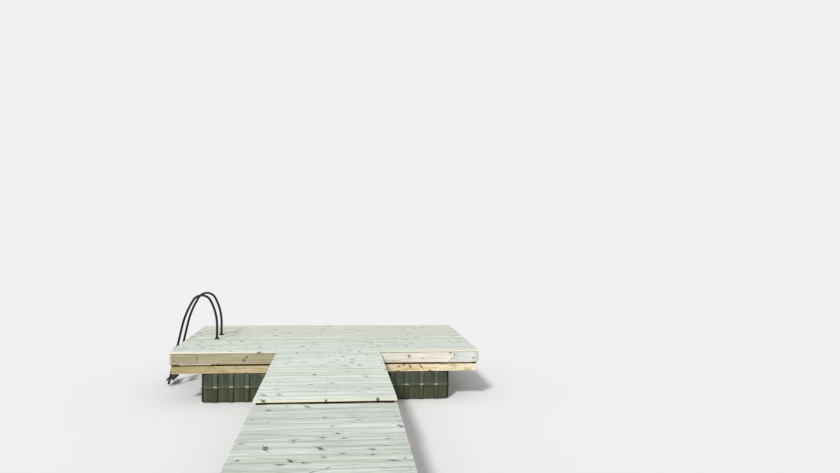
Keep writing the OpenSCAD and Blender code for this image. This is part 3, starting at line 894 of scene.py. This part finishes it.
def moulded_float(name, node, material, seed):
    """A ribbed tank: rounded rims, walls with a little draft and bulge, and a flange at the seam."""
    rng = random.Random(seed)
    piece = Piece(name, [material])
    low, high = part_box(node)
    middle, size = (low + high) / 2, high - low
    bulges = [(rng.uniform(5, 9), rng.uniform(0, math.tau)) for _ in range(2)]
    rings = []
    for z, inset, seam in float_levels(size.z):
        rise = z - size.z / 2
        drawn_in = inset + FLOAT_DRAFT * abs(rise) / (size.z / 2)
        ring = []
        for quarter in range(4):
            turn = Matrix.Rotation(quarter * math.pi / 2, 3, "Z")
            run, depth = (size.x, size.y) if quarter % 2 == 0 else (size.y, size.x)
            wall = depth / 2 - RIB_OUT
            straight = run - 2 * (RIB_OUT + FLOAT_CORNER)
            for t, rib, crease_shade in wall_stations(straight):
                panel = FLOAT_BULGE * (1 - rib) * math.sin(math.pi * z / size.z) * (abs(t) < straight / 2)
                ripple = sum(math.sin(k * (t + quarter) + phase) for k, phase in bulges) / 4 - 0.5
                out = RIB_OUT * max(rib, seam) - drawn_in + panel * ripple
                at = middle + turn @ Vector((t, -wall - out, rise))
                # tone carries the rib faces' painted highlight, edge the painted shade of their creases
                ring.append(piece.vert(at, tone=rib, edge=crease_shade))
            for step in range(1, CORNER_STEPS):
                angle = math.pi / 2 * step / CORNER_STEPS
                radius = FLOAT_CORNER + RIB_OUT * seam - drawn_in
                at = Vector((straight / 2 + radius * math.sin(angle),
                             -wall + FLOAT_CORNER - radius * math.cos(angle), rise))
                ring.append(piece.vert(middle + turn @ at, tone=0.0))
        rings.append(ring)
    piece.tube(rings)
    piece.done("float_plastic", node, smooth=40)


# Ladder
def rail_course(foot, low_z):
    """The line of a rail's middle, from its foot over and down to its lower end."""
    at, lean = Vector(foot), 0.0
    points = [at.copy()]
    for radius, amount in RAIL_STRETCHES:
        if radius == 0:
            at = at + Vector((-math.sin(lean), 0, math.cos(lean))) * amount
            points.append(at.copy())
            continue
        hub = at - Vector((math.cos(lean), 0, math.sin(lean))) * radius
        turn = math.radians(amount)
        steps = math.ceil(turn / RAIL_STEP)
        for i in range(1, steps + 1):
            a = lean + turn * i / steps
            points.append(hub + Vector((math.cos(a), 0, math.sin(a))) * radius)
        at, lean = points[-1].copy(), lean + turn
    down = (at.z - low_z) / -math.cos(lean)
    for share in (0.33, 0.66, 1):
        points.append(at + Vector((-math.sin(lean), 0, math.cos(lean))) * down * share)
    return points


def ladder_rail(name, node, material):
    """A bent tube that comes out of its collar, with an eased lower end."""
    low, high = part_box(node)
    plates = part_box("ladder_foot_plates")
    foot = Vector(((plates[0].x + plates[1].x) / 2, (low.y + high.y) / 2, plates[1].z))
    course = [foot - UP * (COLLAR_H - PLATE_T)] + rail_course(foot, low.z + TUBE_R * RAIL_END_RISE)
    last = len(course) - 1
    piece = Piece(name, [material])
    rings = []
    for i, at in enumerate(course):
        ahead = (course[min(i + 1, last)] - course[max(i - 1, 0)]).normalized()
        out = ahead.cross(BACK)
        ease = RAIL_END_EASE if i == last else 0
        rings.append(piece.circle(at - ahead * ease, out, BACK, TUBE_R, TUBE_SIDES))
    rings.append(piece.circle(course[last], out, BACK, TUBE_R * RAIL_END_SHARE, TUBE_SIDES))
    piece.tube(rings)
    piece.done("ladder_paint", node, smooth=40)


def foot_plates(name, node, material):
    """Round plates, each with a welded collar and its bolts."""
    piece = Piece(name, [material])
    plate = [(PLATE_R - PLATE_EASE, 0), (PLATE_R, PLATE_EASE), (PLATE_R, PLATE_T - PLATE_ROUND),
             (PLATE_R - PLATE_ROUND, PLATE_T)]
    bead = [(COLLAR_R + BEAD, PLATE_T), (COLLAR_R + BEAD / 3, PLATE_T + BEAD / 3),
            (COLLAR_R, PLATE_T + BEAD)]
    collar = [(COLLAR_R, COLLAR_H - COLLAR_EASE), (TUBE_R + COLLAR_GAP, COLLAR_H)]
    source = cad_mesh(node)
    for solid in solids(source):
        base = Vector((solid.middle.x, solid.middle.y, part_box(node)[0].z))
        piece.turned(base, UP, plate + bead + collar, PLATE_SIDES)
        for k in range(PLATE_BOLTS):
            a = math.tau * (k + 0.5) / PLATE_BOLTS
            side = Vector((math.cos(a), math.sin(a), 0)) * (PLATE_R + COLLAR_R) / 2
            add_bolt(piece, base + side + UP * PLATE_T, UP, 0)
    source.free()
    piece.done("ladder_paint", node, smooth=35)


# Camera, light and floor
def edge_middle():
    """The middle of the platform's front edge, at deck level."""
    low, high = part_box("platform_deck")
    return Vector(((low.x + high.x) / 2, low.y, high.z))


def add_camera():
    data = bpy.data.cameras.new("photo_camera")
    data.sensor_width = SENSOR
    data.lens = FOCAL_PX / PHOTO_W * SENSOR
    data.clip_end = CAMERA_REACH
    camera = bpy.data.objects.new("photo_camera", data)
    bpy.context.scene.collection.objects.link(camera)
    camera.matrix_world = (Matrix.Translation(edge_middle() + CAMERA_FROM_EDGE)
                           @ Matrix.Rotation(CAMERA_YAW, 4, "Z")
                           @ Matrix.Rotation(math.pi / 2 + CAMERA_PITCH, 4, "X")
                           @ Matrix.Rotation(CAMERA_ROLL, 4, "Z"))
    bpy.context.scene.camera = camera


def add_light():
    sun = bpy.data.lights.new("key_light", "SUN")
    sun.energy = SUN_STRENGTH
    sun.angle = SUN_SOFTNESS
    lamp = bpy.data.objects.new("key_light", sun)
    bpy.context.scene.collection.objects.link(lamp)
    lamp.rotation_euler = (math.pi / 2 - SUN_HEIGHT, 0, SUN_TURN)


def add_backdrop():
    """A white world that lights softly, and is brighter where it is seen."""
    world = bpy.data.worlds.new("studio")
    bpy.context.scene.world = world
    world.use_nodes = True
    tree = world.node_tree
    background = tree.nodes["Background"]
    background.inputs["Color"].default_value = (1, 1, 1, 1)
    path = tree.nodes.new("ShaderNodeLightPath")
    seen = path.outputs["Is Camera Ray"]
    for ray in ("Is Glossy Ray", "Is Transmission Ray"):
        either = tree.nodes.new("ShaderNodeMath")
        either.operation = "MAXIMUM"
        tree.links.new(seen, either.inputs[0])
        tree.links.new(path.outputs[ray], either.inputs[1])
        seen = either.outputs[0]
    strength = tree.nodes.new("ShaderNodeMapRange")
    strength.inputs["To Min"].default_value = SKY_STRENGTH
    strength.inputs["To Max"].default_value = BACKDROP_STRENGTH
    tree.links.new(seen, strength.inputs["Value"])
    tree.links.new(strength.outputs[0], background.inputs["Strength"])


def add_floor():
    s = Shader("floor")
    s.finish(FLOOR_COLOUR, 0.9, Specular_IOR_Level=0.1)
    half = FLOOR_SIZE / 2
    corners = [(-half, -half, 0), (half, -half, 0), (half, half, 0), (-half, half, 0)]
    mesh = bpy.data.meshes.new("floor")
    mesh.from_pydata(corners, [], [(0, 1, 2, 3)])
    mesh.materials.append(s.material)
    floor = bpy.data.objects.new("floor", mesh)
    bpy.context.scene.collection.objects.link(floor)


def spots(*found):
    """Knots that the photo shows, from (place, radius) measured like the camera's place."""
    return [(edge_middle() + Vector(at), (radius, SPOT_DEPTH, radius)) for at, radius in found]


# The scene round the jetty
bpy.context.scene.view_settings.view_transform = "Standard"
add_camera()
add_light()
add_backdrop()
add_floor()

# The jetty's materials
deck_spots = spots(((-0.001, -2.521, -0.016), 0.010), ((0.507, -2.521, -0.014), 0.014))
fascia_spots = spots(((-1.098, 0, -0.080), 0.018), ((-1.128, 0, -0.118), 0.024),
                     ((1.108, 0, -0.082), 0.016), ((1.301, 0, -0.115), 0.009))
bearer_spots = spots(((0.972, 0.015, -0.230), 0.013), ((1.041, 0.015, -0.205), 0.014))
deck_wood = wood("deck_boards", pale=srgb(240, 246, 240), mid=srgb(214, 223, 213),
                 dark=srgb(138, 149, 139), knot=srgb(76, 75, 62), kept_yellow_and_shade=srgb(238, 233, 206),
                 arris=srgb(112, 120, 110), spots=deck_spots)
deck_ends = end_grain("deck_ends", srgb(214, 216, 200), srgb(160, 158, 138))
# The edge boards' yellow is a dark tan: partly the wood's own colour, partly painted shade on the front
# edge's left
edge_wood = wood("edge_boards", pale=srgb(242, 239, 230), mid=srgb(225, 217, 203),
                 dark=srgb(180, 163, 143), knot=srgb(100, 82, 60), kept_yellow_and_shade=srgb(142, 134, 92),
                 arris=srgb(232, 186, 116), spots=fascia_spots)
edge_ends = end_grain("edge_ends", srgb(220, 226, 208), srgb(172, 178, 152))
# The bearer's yellow is a dark olive: partly the wood's own colour, partly painted shade on the front
# bearer's left
bearer_wood = wood("bearer_timber", pale=srgb(248, 237, 208), mid=srgb(233, 217, 176),
                   dark=srgb(172, 140, 90), knot=srgb(112, 78, 46), kept_yellow_and_shade=srgb(136, 122, 70),
                   arris=srgb(150, 122, 80), knot_share=0.7, knot_pitch=0.16, spots=bearer_spots,
                   stains=0.45)
# Frame timbers are dark brown: their own wet, weathered wood, darkened further as painted shade under the
# decks
frame_wood = wood("frame_timber", pale=srgb(134, 122, 98), mid=srgb(112, 100, 78),
                  dark=srgb(78, 68, 52), knot=srgb(56, 45, 34), kept_yellow_and_shade=srgb(132, 112, 80),
                  arris=srgb(72, 64, 50), wet=True)
rough_ends = end_grain("timber_ends", srgb(190, 178, 146), srgb(128, 112, 84))
# Frame end grain is near black: painted shade in the gaps where joist and stringer ends show
frame_ends = end_grain("frame_ends", srgb(64, 58, 46), srgb(42, 36, 28))
metal = nail_metal()
plastic = float_plastic()
paint = ladder_paint()

# Decks: what carries them, the tones of their boards, how far the tone fades to the back, and their age.
# On the platform, that fade and age paint a darker, yellower reflection of trees at the back.
DECKS = (("platform_deck", "platform_joists", (0.5, 0.9), 0.7, deck_painted_reflection),
         ("far_bay_deck", "far_bay_stringers", (0.75, 1.0), 0.0, None),
         ("middle_bay_deck", "middle_bay_stringers", (0.1, 0.5), 0.0, None),
         ("shore_bay_deck", "shore_bay_stringers", (0.0, 0.8), 0.0, None))
for seed, (node, carriers, tones, fade, age) in enumerate(DECKS, DECK_SEED):
    board_row(node, [deck_wood, deck_ends, metal], "deck_boards", carriers, tones=tones, fade=fade,
              age=age, seed=seed)

# Edge boards: what carries them, which way they face, their age, which on the front edge also paints
# shade, and ends that aren't sawn square
EDGES = (("front_fascia", "platform_joists", FORWARD, front_age_and_shade, split_ends()),
         ("back_fascia", "platform_joists", BACK, None, None),
         ("left_fascia", "platform_noggings", LEFT, None, None),
         ("right_fascia", "platform_noggings", RIGHT, None, None))
for seed, (node, carriers, outward, age, ends) in enumerate(EDGES, EDGE_SEED):
    board_row(node, [edge_wood, edge_ends, metal], "edge_boards", carriers, outward, age=age,
              ends=ends, seed=seed)

# Timbers
BEARERS = ("front_bearer", "front_inner_bearer", "back_inner_bearer", "back_bearer",
           "walkway_ledger", "outer_trestle_cap", "inner_trestle_cap", "shore_trestle_cap")
FRAMES = ("platform_joists", "platform_noggings", "far_bay_stringers", "far_bay_noggings",
          "middle_bay_stringers", "middle_bay_noggings", "shore_bay_stringers", "shore_bay_noggings",
          "packing_strip", "outer_trestle_posts", "outer_trestle_sill", "outer_trestle_brace",
          "inner_trestle_posts", "inner_trestle_sill", "inner_trestle_brace", "shore_trestle_posts",
          "shore_trestle_sill")
for seed, node in enumerate(BEARERS, BEARER_SEED):
    eased(node + "_timber", node, [bearer_wood, rough_ends], "bearer_timber",
          age=bearer_age_and_shade if node == "front_bearer" else None, seed=seed)
for seed, node in enumerate(FRAMES, FRAME_SEED):
    bolts = brace_bolts(node) if node.endswith("brace") else ()
    materials = [frame_wood, frame_ends, metal] if bolts else [frame_wood, frame_ends]
    eased(node + "_timber", node, materials, "frame_timber", seed=seed, bolts=bolts)

# Floats and ladder
FLOATS = ("front_left_float", "front_right_float", "back_left_float", "back_right_float")
for seed, node in enumerate(FLOATS, FLOAT_SEED):
    moulded_float(node + "_tank", node, plastic, seed)
for node in ("ladder_front_rail", "ladder_back_rail"):
    ladder_rail(node + "_tube", node, paint)
foot_plates("ladder_feet", "ladder_foot_plates", paint)
for node, bolts in (("ladder_treads", ()), ("ladder_brackets", bracket_bolts())):
    eased(node + "_steel", node, [paint], "ladder_paint", bevel=STEEL_BEVEL, smooth=30, bolts=bolts)
